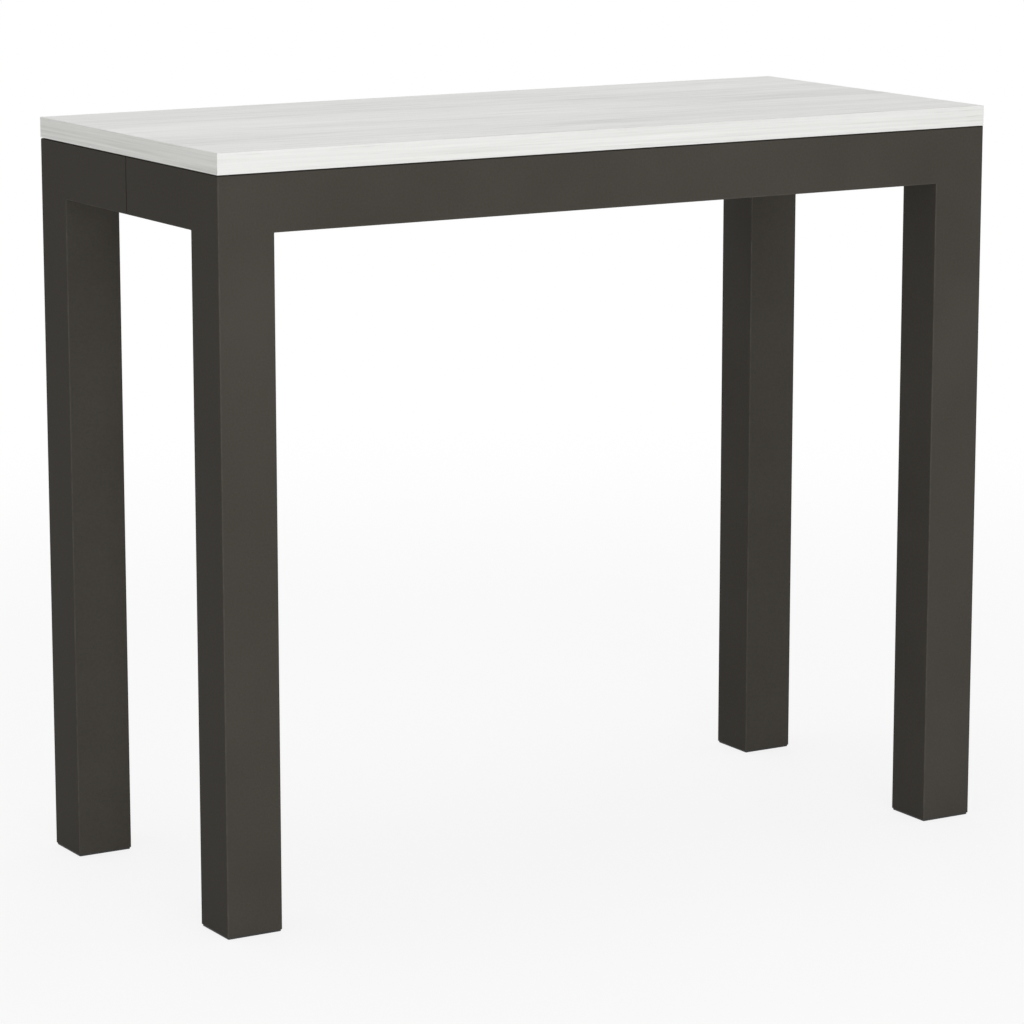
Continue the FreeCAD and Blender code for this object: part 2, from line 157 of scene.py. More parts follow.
def layFloor(look):
    half = look["floorSize"] / 2
    around = ((-half, -half), (half, -half), (half, half), (-half, half))
    mesh = bpy.data.meshes.new("floor")
    mesh.from_pydata([(x, y, -look["floorDrop"]) for x, y in around], [], [(0, 1, 2, 3)])
    floor = addObject("floor", mesh)
    paper = bpy.data.materials.new("floorPaper")
    tree = openShader(paper)
    matt = put(tree, "ShaderNodeBsdfDiffuse", {"Color": look["floorColour"]}).outputs[0]
    bright = put(tree, "ShaderNodeEmission", {"Color": look["white"], "Strength": 1.0}).outputs[0]
    where = put(tree, "ShaderNodeTexCoord").outputs["Object"]
    away = put(tree, "ShaderNodeVectorMath", {0: where}, operation="LENGTH").outputs["Value"]
    share = between(tree, away, look["glowReach"], look["floorGlow"], smooth=True)
    glow = calc(tree, "MULTIPLY", share, seenDirectly(tree))
    mixed = put(tree, "ShaderNodeMixShader", {0: glow, 1: matt, 2: bright})
    put(tree, "ShaderNodeOutputMaterial", {"Surface": mixed.outputs[0]})
    mesh.materials.append(paper)


def hangLamps(look):
    for name, lamp in look["lamps"].items():
        holder = addObject(name, bpy.data.lights.new(name, "AREA"))
        holder.data.size = lamp["size"]
        holder.data.energy = lamp["watts"]
        holder.location = lamp["at"]
        toward = Vector(look["aim"]) - holder.location
        holder.rotation_euler = toward.to_track_quat("-Z", "Y").to_euler()
        holder.visible_camera = False


standCamera(cameraSet)
lightRoom(studio)
layFloor(studio)
hangLamps(studio)
bpy.context.scene.view_settings.view_transform = "Standard"
print("studio: camera, floor and", len(studio["lamps"]), "lamps")


# finishes: each has its colour, its roughness and a fine relief from noise on the piece's own coordinates

cloudSpread = (0.3, 0.7)  # nearly all values of a cloud lie here
cloudMiddle = 0.5


def startFinish(name, constants):
    finish = bpy.data.materials.new(name)
    tree = openShader(finish)
    shader = put(tree, "ShaderNodeBsdfPrincipled", constants)
    put(tree, "ShaderNodeOutputMaterial", {"Surface": shader.outputs[0]})
    where = put(tree, "ShaderNodeTexCoord").outputs["Object"]
    return finish, tree, shader, where


def stretched(tree, where, scale, offset=(0, 0, 0)):
    return put(tree, "ShaderNodeMapping", {"Vector": where, "Scale": scale, "Location": offset}).outputs[0]


def cloud(tree, vector, scale, detail=2.0, roughness=0.5, bend=0.0):
    feeds = {"Vector": vector, "Scale": scale, "Detail": detail, "Roughness": roughness, "Distortion": bend}
    return put(tree, "ShaderNodeTexNoise", feeds).outputs[0]


def tinted(tree, share, first, second):
    return put(tree, "ShaderNodeMix", {0: share, 6: first, 7: second}, data_type="RGBA").outputs[2]


def raised(tree, height, relief):  # relief is a strength and a depth in metres
    feeds = {"Height": height, "Strength": relief[0], "Distance": relief[1]}
    return put(tree, "ShaderNodeBump", feeds).outputs[0]


def faceNormal(tree):
    normal = put(tree, "ShaderNodeNewGeometry").outputs["True Normal"]
    return put(tree, "ShaderNodeSeparateXYZ", {0: normal}).outputs


def dress(tree, shader, colour, roughness, normal):
    for name, output in (("Base Color", colour), ("Roughness", roughness), ("Normal", normal)):
        tree.links.new(output, shader.inputs[name])


# matt anthracite decor of the legs and boards, a fine pearl, paler eased edges and a painted shade line
# under the top
anthracite = {
    "deep": screenColour(62, 59, 54),
    "pale": screenColour(68, 65, 60),
    "driftScale": 7.0,
    "fleckScale": 420.0,
    "mix": (0.6, 0.4),  # drift, fleck
    "contrast": (0.36, 0.64),
    "pearlScale": 1300.0,
    "pearl": (0.10, 0.0003),
    "roughness": (0.60, 0.70),
    "gloss": 0.03,
    "worn": screenColour(92, 89, 83),
    "wornWidth": 0.0016,
    "wornShare": 0.55,
    "rubScale": 60.0,
    "rubRange": (0.35, 0.70),
    "rubShare": (0.3, 1.0),  # the wear comes and goes along an edge
    "legLines": ((legHigh.x, legLow.x), (-legLow.y, -legHigh.y)),  # outer and inner edges, in x and in y
    "boardLevel": apronLow.z,
    "boardMargin": 0.0005,
    "legMargin": 0.001,
    "core": screenColour(37, 35, 32),  # painted shade: a dark line on the ease under the top, where the top shades the board
    # levels where the painted shade under the top fades in
    "shadeUnderTopLevels": (apronHigh.z - 0.0016, apronHigh.z - 0.0011),
    "shadeUnderTopFacing": 0.98,  # a face that looks straight up gets no painted shade
}


def edgeDistance(tree, where, look):  # metres to the nearest leg edge or lower board edge
    x, y, z = put(tree, "ShaderNodeSeparateXYZ", {0: where}).outputs
    level = look["boardLevel"]
    beside = calc(tree, "GREATER_THAN", z, level - look["boardMargin"])  # inner leg edges end at the boards
    toOuter, toLegEdge, onLeg = [], [], []
    for value, (outer, inner) in zip((x, y), look["legLines"]):
        place = calc(tree, "ABSOLUTE", value)
        fromOuter = calc(tree, "ABSOLUTE", calc(tree, "SUBTRACT", place, outer))
        fromInner = calc(tree, "ABSOLUTE", calc(tree, "SUBTRACT", place, inner))
        toOuter.append(fromOuter)
        toLegEdge.append(calc(tree, "MINIMUM", fromOuter, calc(tree, "ADD", fromInner, beside)))
        onLeg.append(calc(tree, "GREATER_THAN", place, inner - look["legMargin"]))
    toLevel = calc(tree, "ABSOLUTE", calc(tree, "SUBTRACT", z, level))
    longEdge = calc(tree, "ADD", calc(tree, "MAXIMUM", toOuter[1], toLevel), onLeg[0])
    sideEdge = calc(tree, "ADD", calc(tree, "MAXIMUM", toOuter[0], toLevel), onLeg[1])
    boardEdge = calc(tree, "MINIMUM", longEdge, sideEdge)
    return calc(tree, "MINIMUM", calc(tree, "MAXIMUM", *toLegEdge), boardEdge)


def paintedShadeUnderTop(tree, where, look):  # 1 on the ease under the top, where the shade is painted
    level = put(tree, "ShaderNodeSeparateXYZ", {0: where}).outputs[2]
    aside = calc(tree, "LESS_THAN", faceNormal(tree)[2], look["shadeUnderTopFacing"])
    return calc(tree, "MULTIPLY", between(tree, level, look["shadeUnderTopLevels"], smooth=True), aside)


def anthraciteDecor(look):
    finish, tree, shader, where = startFinish("anthraciteDecor", {"Specular IOR Level": look["gloss"]})
    drift = cloud(tree, where, look["driftScale"], detail=3)
    fleck = cloud(tree, where, look["fleckScale"])
    shade = between(tree, weighted(tree, (drift, fleck), look["mix"]), look["contrast"])
    colour = tinted(tree, shade, look["deep"], look["pale"])
    rub = between(tree, cloud(tree, where, look["rubScale"], detail=3), look["rubRange"], look["rubShare"])
    edge = edgeDistance(tree, where, look)
    near = between(tree, edge, (0, look["wornWidth"]), (look["wornShare"], 0), smooth=True)
    colour = tinted(tree, calc(tree, "MULTIPLY", near, rub), colour, look["worn"])
    # painted shade: the ease under the top is tinted dark where the top shades it
    colour = tinted(tree, paintedShadeUnderTop(tree, where, look), colour, look["core"])
    rough = between(tree, drift, cloudSpread, look["roughness"])
    dress(tree, shader, colour, rough, raised(tree, cloud(tree, where, look["pearlScale"]), look["pearl"]))
    return finish


# white ash decor of the top: grain along the table, and along each edge band; the end bands are painted
# lighter and the side bands painted darker, as painted light and shade
ash = {
    "tones": {  # pale and shaded grain
        "top": (screenColour(239, 239, 237), screenColour(209, 209, 207)),
        # the side bands' tone is painted darker and the end bands' tone painted lighter, as painted shade
        # and painted light
        "long": (screenColour(224, 224, 222), screenColour(204, 204, 201)),
        "short": (screenColour(247, 247, 244), screenColour(202, 202, 197)),
    },
    "poreTone": screenColour(186, 186, 182),
    "scales": {  # per metre along and across the grain
        "top": {"band": (1.2, 12.0), "streak": (7.0, 170.0), "dash": (14.0, 190.0), "pore": (24.0, 850.0)},
        "edge": {"band": (0.9, 30.0), "streak": (4.0, 380.0), "dash": (16.0, 600.0), "pore": (20.0, 850.0)},
    },
    "clouds": {  # detail, bend and start
        "band": (3, 0.5, (3.1, 7.7, 1.3)),
        "streak": (4, 0.25, (11.4, 2.9, 5.2)),
        "dash": (1, 0.0, (6.3, 9.1, 2.7)),
        "pore": (2, 0.0, (1.9, 4.4, 8.8)),
    },
    "fibre": 0.55,
    "mix": {"top": (0.64, 0.36), "edge": (0.32, 0.68)},  # broad bands, fine streaks
    "contrast": {"top": (0.30, 0.74), "edge": (0.28, 0.80)},
    "shaded": (0.35, 0.62),  # a band goes from pale to shaded
    "gather": (0.5, 1.6),  # streaks crowd in the shaded bands
    "dashRange": (0.58, 0.80),
    "dashShare": {"top": 0.30, "edge": 0.20},
    "poreRange": (0.60, 0.74),
    "poreShare": {"top": 0.60, "edge": 0.65},
    "vesselRange": (0.45, 0.60),  # pores open in the darker streaks
    "streakRise": 0.35,
    "relief": (0.16, 0.0004),
    "roughness": (0.52, 0.64),
    "gloss": 0.06,
    "endFace": 0.7,  # a face that looks this much along the table is on an end band, with turned grain and the tone painted lighter
}


def whiteAsh(name, look, part):
    finish, tree, shader, where = startFinish(name, {"Specular IOR Level": look["gloss"]})
    tones = look["tones"]["top"]
    if part == "edge":
        x, y, z = put(tree, "ShaderNodeSeparateXYZ", {0: where}).outputs
        turned = put(tree, "ShaderNodeCombineXYZ", {0: y, 1: x, 2: z}).outputs[0]
        # the end bands turn their grain and take the tone painted lighter; the side bands take the tone
        # painted darker
        short = calc(tree, "GREATER_THAN", calc(tree, "ABSOLUTE", faceNormal(tree)[0]), look["endFace"])
        where = put(tree, "ShaderNodeMix", {0: short, 4: where, 5: turned}, data_type="VECTOR").outputs[1]
        tones = [tinted(tree, short, *pair) for pair in zip(look["tones"]["long"], look["tones"]["short"])]
    grain = {}
    for layer, (detail, bend, start) in look["clouds"].items():
        along, across = look["scales"][part][layer]
        drawn = stretched(tree, where, (along, across, across), start)
        grain[layer] = cloud(tree, drawn, 1.0, detail, look["fibre"], bend)
    streak = grain["streak"]
    gathered = between(tree, grain["band"], look["shaded"], look["gather"])
    lines = calc(tree, "MULTIPLY_ADD", calc(tree, "SUBTRACT", streak, cloudMiddle), gathered, cloudMiddle)
    mixed = weighted(tree, (grain["band"], lines), look["mix"][part])
    colour = tinted(tree, between(tree, mixed, look["contrast"][part]), *tones)
    pore = calc(tree, "MULTIPLY", between(tree, grain["pore"], look["poreRange"]), look["poreShare"][part])
    vessel = calc(tree, "MULTIPLY", pore, between(tree, streak, look["vesselRange"]))
    dash = calc(tree, "MULTIPLY", between(tree, grain["dash"], look["dashRange"]), look["dashShare"][part])
    marks = calc(tree, "MAXIMUM", vessel, calc(tree, "MULTIPLY", dash, gathered))
    rough = between(tree, streak, cloudSpread, look["roughness"])
    depth = calc(tree, "SUBTRACT", calc(tree, "MULTIPLY", streak, look["streakRise"]), vessel)
    colour = tinted(tree, marks, colour, look["poreTone"])
    dress(tree, shader, colour, rough, raised(tree, depth, look["relief"]))
    return finish


# drawn aluminium: fine lines along the rails
aluminium = {
    "pale": (0.62, 0.63, 0.64, 1),
    "dull": (0.49, 0.50, 0.52, 1),
    "lineScale": (1500.0, 4.0, 1500.0),
    "patchScale": (18.0, 3.0, 18.0),
    "mix": (0.4, 0.6),  # lines, patches
    "contrast": (0.35, 0.65),
    "relief": (0.06, 0.0002),
    "roughness": (0.46, 0.30),  # dull, pale
}


def drawnAluminium(look):
    finish, tree, shader, where = startFinish("drawnAluminium", {"Metallic": 1.0})
    lines = cloud(tree, stretched(tree, where, look["lineScale"]), 1.0)
    patch = cloud(tree, stretched(tree, where, look["patchScale"]), 1.0, detail=4, roughness=0.6)
    share = weighted(tree, (lines, patch), look["mix"])
    colour = tinted(tree, between(tree, share, look["contrast"]), look["dull"], look["pale"])
    rough = between(tree, share, cloudSpread, look["roughness"])
    dress(tree, shader, colour, rough, raised(tree, lines, look["relief"]))
    return finish


# zinc plating on braces, brackets, angles and fasteners: mottled, faintly blue
zinc = {
    "pale": (0.68, 0.70, 0.72, 1),
    "dull": (0.46, 0.48, 0.51, 1),
    "mottleScale": 160.0,
    "contrast": (0.32, 0.68),
    "stain": (0.62, 0.60, 0.50, 1),
    "stainScale": 26.0,
    "stainRange": (0.55, 0.80),
    "stainShare": (0, 0.4),
    "grainScale": 900.0,
    "grain": (0.05, 0.0002),
    "roughness": (0.26, 0.48),
}


def zincPlate(look):
    finish, tree, shader, where = startFinish("zincPlate", {"Metallic": 1.0})
    mottle = cloud(tree, where, look["mottleScale"], detail=4, roughness=0.6)
    colour = tinted(tree, between(tree, mottle, look["contrast"]), look["dull"], look["pale"])
    stain = cloud(tree, where, look["stainScale"], detail=3, roughness=0.55)
    spots = between(tree, stain, look["stainRange"], look["stainShare"])
    colour = tinted(tree, spots, colour, look["stain"])
    rough = between(tree, mottle, cloudSpread, look["roughness"])
    dress(tree, shader, colour, rough, raised(tree, cloud(tree, where, look["grainScale"]), look["grain"]))
    return finish


# dark coats: moulded nylon guides and glides, powder coated cross bars and rail screws, and the dark felt
# in the seam, which stands in for the shade in the gap as painted shade
darkCoats = {
    "mouldedNylon": {
        "deep": (0.013, 0.013, 0.014, 1), "pale": (0.024, 0.024, 0.025, 1), "driftScale": 120.0,
        "grainScale": 1100.0, "grain": (0.12, 0.0003), "roughness": (0.42, 0.58), "gloss": 0.4,
    },
    "powderCoat": {
        "deep": (0.018, 0.018, 0.019, 1), "pale": (0.032, 0.031, 0.031, 1), "driftScale": 60.0,
        "grainScale": 700.0, "grain": (0.22, 0.0003), "roughness": (0.50, 0.64), "gloss": 0.12,
    },
    # the felt's near-black colour stands in for the shade in the seam, as painted shade
    "shadeFeltCoat": {
        "deep": (0.010, 0.010, 0.010, 1), "pale": (0.032, 0.031, 0.030, 1), "driftScale": 800.0,
        "grainScale": 1600.0, "grain": (0.55, 0.0003), "roughness": (0.90, 1.00), "gloss": 0.1,
    },
}


def darkCoat(name):
    look = darkCoats[name]
    finish, tree, shader, where = startFinish(name, {"Specular IOR Level": look["gloss"]})
    drift = cloud(tree, where, look["driftScale"], detail=3)
    colour = tinted(tree, between(tree, drift, cloudSpread), look["deep"], look["pale"])
    rough = between(tree, drift, cloudSpread, look["roughness"])
    dress(tree, shader, colour, rough, raised(tree, cloud(tree, where, look["grainScale"]), look["grain"]))
    return finish


# turned beech of the dowels
beech = {
    "pale": (0.56, 0.38, 0.22, 1),
    "dark": (0.40, 0.24, 0.12, 1),
    "grainScale": 340.0,
    "relief": (0.1, 0.0003),
    "roughness": (0.5, 0.65),
    "gloss": 0.3,
}


def turnedBeech(look):
    finish, tree, shader, where = startFinish("turnedBeech", {"Specular IOR Level": look["gloss"]})
    grain = cloud(tree, where, look["grainScale"], detail=4, roughness=0.6, bend=0.4)
    colour = tinted(tree, between(tree, grain, cloudSpread), look["dark"], look["pale"])
    rough = between(tree, grain, cloudSpread, look["roughness"])
    dress(tree, shader, colour, rough, raised(tree, grain, look["relief"]))
    return finish


finishes = {
    "anthracite_board": anthraciteDecor(anthracite),
    "white_ash": whiteAsh("whiteAshTop", ash, "top"),
    "white_ash_edge": whiteAsh("whiteAshEdge", ash, "edge"),
    "aluminium": drawnAluminium(aluminium),
    "zinc_steel": zincPlate(zinc),
    "black_nylon": darkCoat("mouldedNylon"),
    "black_steel": darkCoat("powderCoat"),
    "beech": turnedBeech(beech),
}

for name, node in nodes.items():
    if not node.material_slots:
        node.data.materials.append(None)
    for holder in node.material_slots:
        holder.material = finishes[slotOf[name]]
print("finishes:", len(finishes), "on", len(nodes), "nodes")


# pieces that stand for a node

tolerance = {
    "merge": 2e-6,  # points closer than this are one
    "flat": math.radians(0.2),  # faces closer than this are one
    "along": 0.999,  # share of an edge's length on its axis
    "level": 2e-5,
    "square": 0.1,
}
# edges up to this many degrees shade smoothly
smoothUpTo = {"plates": 30, "glides": 35, "screws": 40, "nuts": 30, "bolts": 50, "turned": 40, "felts": 40}


def camelName(nodeName):  # front_leg_nuts gives frontLegNuts
    first, *others = nodeName.split("_")
    return first + "".join(word.title() for word in others)


def standFor(nodeName, mesh, pieceName):
    mesh.name = pieceName
    mesh.materials.clear()
    mesh.materials.append(finishes[slotOf[nodeName]])
    piece = addObject(pieceName, mesh)
    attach(piece, bodyOf[nodeName])
    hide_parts(nodeName)


def mergedShape(nodeName):  # the node's loose triangles as one clean shape
    shape = bmesh.new()
    shape.from_mesh(nodes[nodeName].data)
    bmesh.ops.remove_doubles(shape, verts=shape.verts[:], dist=tolerance["merge"])
    flat = tolerance["flat"]
    bmesh.ops.dissolve_limit(shape, angle_limit=flat, verts=shape.verts[:], edges=shape.edges[:])
    return shape


def easeEdges(shape, width, steps, wanted):  # round over the edges that a test picks
    chosen = [edge for edge in shape.edges if edge.is_manifold and wanted(edge)]
    bmesh.ops.bevel(
        shape, geom=chosen, offset=width, offset_type="OFFSET", segments=steps, profile=0.5,
        affect="EDGES", clamp_overlap=True,
    )
    return len(chosen)


def runsAlong(edge, axis):
    run = edge.verts[1].co - edge.verts[0].co
    return run.length > 0 and abs(run[axis]) > tolerance["along"] * run.length


def atLevel(edge, axis, level):
    return all(abs(vert.co[axis] - level) < tolerance["level"] for vert in edge.verts)


def convex(edge):
    return edge.calc_face_angle_signed() > 0


def square(edge):  # two faces at a right angle
    return abs(edge.calc_face_angle() - math.pi / 2) < tolerance["square"]


def meshFrom(shape, name):
    mesh = bpy.data.meshes.new(name)
    shape.to_mesh(mesh)
    shape.free()
    return mesh


def smoothed(mesh, kind):
    mesh.shade_smooth()
    mesh.set_sharp_from_angle(angle=math.radians(smoothUpTo[kind]))
    return mesh


# boards: lower edges, seam ends and the outer edge under the top eased, the joints to the legs stay flush
boards = {
    "front_apron": xAxis,
    "rear_apron": xAxis,
    "left_front_side": yAxis,
    "left_rear_side": yAxis,
    "right_front_side": yAxis,
    "right_rear_side": yAxis,
}
boardEase = {
    "width": 0.0007,
    "underTop": 0.0011,
    "steps": 3,
    "seamReach": 0.0011,  # the seam ends stand this close to the table's middle
    "shortest": 0.004,
    "bluntest": 1.0,  # radians between the faces
}


def easedBoard(nodeName, along, ease):
    shape = mergedShape(nodeName)
    low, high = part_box(nodeName)
    across = yAxis if along == xAxis else xAxis
    outer = max(low[across], high[across], key=abs)

    def lowerOrSeam(edge):
        if edge.calc_length() < ease["shortest"] or edge.calc_face_angle() < ease["bluntest"]:
            return False
        under = runsAlong(edge, along) and atLevel(edge, zAxis, low.z)
        nearSeam = along == yAxis and abs(edge.verts[0].co.y) < ease["seamReach"]
        return under or (nearSeam and runsAlong(edge, zAxis))

    def underTop(edge):
        return runsAlong(edge, along) and atLevel(edge, zAxis, high.z) and atLevel(edge, across, outer)

    count = easeEdges(shape, ease["width"], ease["steps"], lowerOrSeam)
    count += easeEdges(shape, ease["underTop"], ease["steps"], underTop)
    print("board", nodeName, count, "edges eased")
    return meshFrom(shape, nodeName)


for nodeName, along in boards.items():
    standFor(nodeName, easedBoard(nodeName, along, boardEase), camelName(nodeName) + "Board")


# legs: the outer edge under the top eased like the boards, a small ease all round the foot
legs = {  # which way each leg stands out, in x and y
    "front_left_leg": (-1, -1),
    "front_right_leg": (1, -1),
    "rear_left_leg": (-1, 1),
    "rear_right_leg": (1, 1),
}
legEase = {"rim": boardEase["underTop"], "foot": 0.0005, "steps": 3, "facing": 0.1, "bluntest": 1.0}


def easedLeg(nodeName, outward, ease):
    shape = mergedShape(nodeName)
    low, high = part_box(nodeName)

    def facesOut(face):
        return any(face.normal[axis] * outward[axis] > ease["facing"] for axis in (xAxis, yAxis))

    def upperRim(edge):
        return atLevel(edge, zAxis, high.z) and any(facesOut(face) for face in edge.link_faces)

    def footRim(edge):
        return atLevel(edge, zAxis, low.z) and edge.calc_face_angle() > ease["bluntest"]

    count = easeEdges(shape, ease["rim"], ease["steps"], upperRim)
    count += easeEdges(shape, ease["foot"], ease["steps"], footRim)
    print("leg", nodeName, count, "edges eased")
    return meshFrom(shape, nodeName)


for nodeName, outward in legs.items():
    standFor(nodeName, easedLeg(nodeName, outward, legEase), camelName(nodeName))


# steel plates: rounded corners, bends with a radius, tube edges drawn round
plateKinds = {
    "brace": {"thickness": 0.0025, "corner": 0.004, "bends": (0.0019, 0.0008)},  # outside and inside radius
    "bracket": {"thickness": 0.0025, "corner": 0.004},
    "angle": {"thickness": 0.0020, "corner": 0.003, "inside": 0.0012},
    "tube": {"thickness": 0.0025, "corner": 0.003, "outside": 0.0020},
}
plates = {
    "front_corner_braces": "brace",
    "rear_corner_braces": "brace",
    "front_rail_brackets": "bracket",
    "rear_rail_brackets": "bracket",
    "top_fixing_angles": "angle",
    "front_cross_bar": "tube",
    "rear_cross_bar": "tube",
}
plateEase = {
    "steps": 4,
    "thicknessMargin": 5e-5,
    "bendAngles": (0.6, 1.0),  # radians
    "angleFold": 0.01,  # longer inner edges are the fold of an angle
    "tubeEdge": 0.3,  # longer edges run the length of a tube
}


def easedPlate(nodeName, look, ease):
    shape = mergedShape(nodeName)

    def corner(edge):
        alike = abs(edge.calc_length() - look["thickness"]) < ease["thicknessMargin"]
        return alike and square(edge) and convex(edge)

    def bend(edge):
        least, most = ease["bendAngles"]
        return runsAlong(edge, zAxis) and least < edge.calc_face_angle() < most

    def fold(edge):
        return square(edge) and not convex(edge) and edge.calc_length() > ease["angleFold"]

    def tubeEdge(edge):
        return runsAlong(edge, xAxis) and edge.calc_length() > ease["tubeEdge"] and convex(edge)

    easeEdges(shape, look["corner"], ease["steps"], corner)
    if "bends" in look:
        outside, inside = look["bends"]
        easeEdges(shape, outside, ease["steps"], lambda edge: bend(edge) and convex(edge))
        easeEdges(shape, inside, ease["steps"], lambda edge: bend(edge) and not convex(edge))
    if "inside" in look:
        easeEdges(shape, look["inside"], ease["steps"], fold)
    if "outside" in look:
        easeEdges(shape, look["outside"], ease["steps"], tubeEdge)
    return smoothed(meshFrom(shape, nodeName), "plates")


for nodeName, kind in plates.items():
    standFor(nodeName, easedPlate(nodeName, plateKinds[kind], plateEase), camelName(nodeName))
    print("plate", nodeName)


# moulded pieces: foot glides and rail guides, their arrises taken off
moulded = {"glideEase": 0.0006, "guideEase": 0.0003, "steps": 2, "guideEdge": 0.005}
railCount = 7


def easedGlides(nodeName, look):
    shape = mergedShape(nodeName)

    def underside(edge):
        return atLevel(edge, zAxis, 0) and square(edge)

    easeEdges(shape, look["glideEase"], look["steps"], underside)
    return smoothed(meshFrom(shape, nodeName), "glides")


def easedGuides(nodeName, look):
    shape = mergedShape(nodeName)

    def arris(edge):
        lengthwise = runsAlong(edge, yAxis) and edge.calc_length() > look["guideEdge"]
        return lengthwise and square(edge) and convex(edge)

    easeEdges(shape, look["guideEase"], look["steps"], arris)
    return meshFrom(shape, nodeName)


for half in halves:
    nodeName = half + "_leg_glides"
    standFor(nodeName, easedGlides(nodeName, moulded), camelName(nodeName))
for hand in hands:
    for number in range(1, railCount + 1):
        nodeName = f"{hand}_rail_{number}_guides"
        standFor(nodeName, easedGuides(nodeName, moulded), f"{hand}RailGuides{number}")
print("moulded pieces:", len(halves) + len(hands) * railCount)


# geometry nodes: open a tree with named sizes, close it, and grow a plain mesh with it

weldDistance = 1e-6


def openTree(name, sizes):
    tree = bpy.data.node_groups.new(name, "GeometryNodeTree")
    tree.interface.new_socket(name="Geometry", in_out="INPUT", socket_type="NodeSocketGeometry")
    tree.interface.new_socket(name="Geometry", in_out="OUTPUT", socket_type="NodeSocketGeometry")
    for size, kind in sizes.items():
        tree.interface.new_socket(name=size, in_out="INPUT", socket_type="NodeSocket" + kind)
    return tree, put(tree, "NodeGroupInput").outputs


def closeTree(tree, geometry, finish):
    real = put(tree, "GeometryNodeRealizeInstances", {0: geometry})
    coated = put(tree, "GeometryNodeSetMaterial", {"Geometry": real.outputs[0], "Material": finish})
    put(tree, "NodeGroupOutput", {0: coated.outputs[0]})
    return tree


def bothParts(tree, first, second):
    both = put(tree, "GeometryNodeJoinGeometry")
    for part in (first, second):
        tree.links.new(part, both.inputs[0])
    return both.outputs[0]


def welded(tree, geometry):
    feeds = {"Geometry": geometry, "Distance": weldDistance}
    return put(tree, "GeometryNodeMergeByDistance", feeds).outputs[0]


def flipped(tree, mesh):
    return put(tree, "GeometryNodeFlipFaces", {"Mesh": mesh}).outputs[0]


def lifted(tree, geometry, level):
    rise = put(tree, "ShaderNodeCombineXYZ", {2: level}).outputs[0]
    return put(tree, "GeometryNodeTransform", {"Geometry": geometry, "Translation": rise}).outputs[0]


def without(tree, blank, cutter, crossing=False):  # crossing: the cutter's own bars cross
    feeds = {"Mesh 1": blank, "Mesh 2": cutter, "Self Intersection": crossing}
    return put(tree, "GeometryNodeMeshBoolean", feeds, operation="DIFFERENCE", solver="EXACT").outputs[0]


def pointAim(tree):  # the turn that lays z along a point's axis
    named = put(tree, "GeometryNodeInputNamedAttribute", {"Name": "axis"}, data_type="FLOAT_VECTOR")
    feeds = {"Vector": named.outputs[0]}
    return put(tree, "FunctionNodeAlignRotationToVector", feeds, axis="Z").outputs[0]


def onPoints(tree, given, made, turn):
    feeds = {"Points": given["Geometry"], "Instance": made, "Rotation": turn}
    copies = put(tree, "GeometryNodeInstanceOnPoints", feeds).outputs[0]
    return closeTree(tree, copies, given["finish"])


def grow(tree, seed, values):
    carrier = addObject("carrier", seed)
    maker = carrier.modifiers.new("maker", "NODES")
    maker.node_group = tree
    for item in tree.interface.items_tree:
        if item.in_out == "INPUT" and item.name in values:
            maker[item.identifier] = values[item.name]
    ready = carrier.evaluated_get(bpy.context.evaluated_depsgraph_get())
    mesh = bpy.data.meshes.new_from_object(ready)
    carrier.modifiers.remove(maker)
    bpy.data.objects.remove(carrier)
    return mesh


# rails: one drawn section with a T slot outside, a T tongue inside and three hollows
rail = {
    "face": 0.009,  # half the width
    "height": 0.019,  # half the height
    "mouth": 0.005,
    "slot": (-0.006, 0.0005, 0.011),  # start, end, half height
    "neck": 0.0045,
    "head": (0.0135, 0.0169, 0.008),  # start, end, half height
    "wall": 0.002,
    "cornerRadius": 0.0004,
    "cornerSteps": 2,
}


def railLoops(look):  # the outline and the hollows, each from the slot's side across to the tongue's
    face, height, mouth, neck, wall = (look[key] for key in ("face", "height", "mouth", "neck", "wall"))
    slotStart, slotEnd, slotHalf = look["slot"]
    headStart, headEnd, headHalf = look["head"]
    lower = [
        (-face, -mouth), (-face, -height), (face, -height), (face, -neck),
        (headStart, -neck), (headStart, -headHalf), (headEnd, -headHalf),
    ]
    upper = [(across, -up) for across, up in reversed(lower)]
    slot = [(slotStart, mouth), (slotStart, slotHalf), (slotEnd, slotHalf)]
    outline = lower + upper + slot + [(across, -up) for across, up in reversed(slot)]
    side = face - wall
    low, high = slotHalf + wall, height - wall
    hollows = []
    for sign in (1, -1):
        hollows.append([(-side, sign * low), (side, sign * low), (side, sign * high), (-side, sign * high)])
    core = slotEnd + wall
    hollows.append([(core, -slotHalf), (side, -slotHalf), (side, slotHalf), (core, slotHalf)])
    return [outline] + hollows


def railSection(look, inward):
    points, edges = [], []
    for loop in railLoops(look):
        start, count = len(points), len(loop)
        points += [(inward * across, up, 0) for across, up in loop]
        edges += [(start + number, start + (number + 1) % count) for number in range(count)]
    section = bpy.data.meshes.new("railSection")
    section.from_pydata(points, edges, [])
    return section


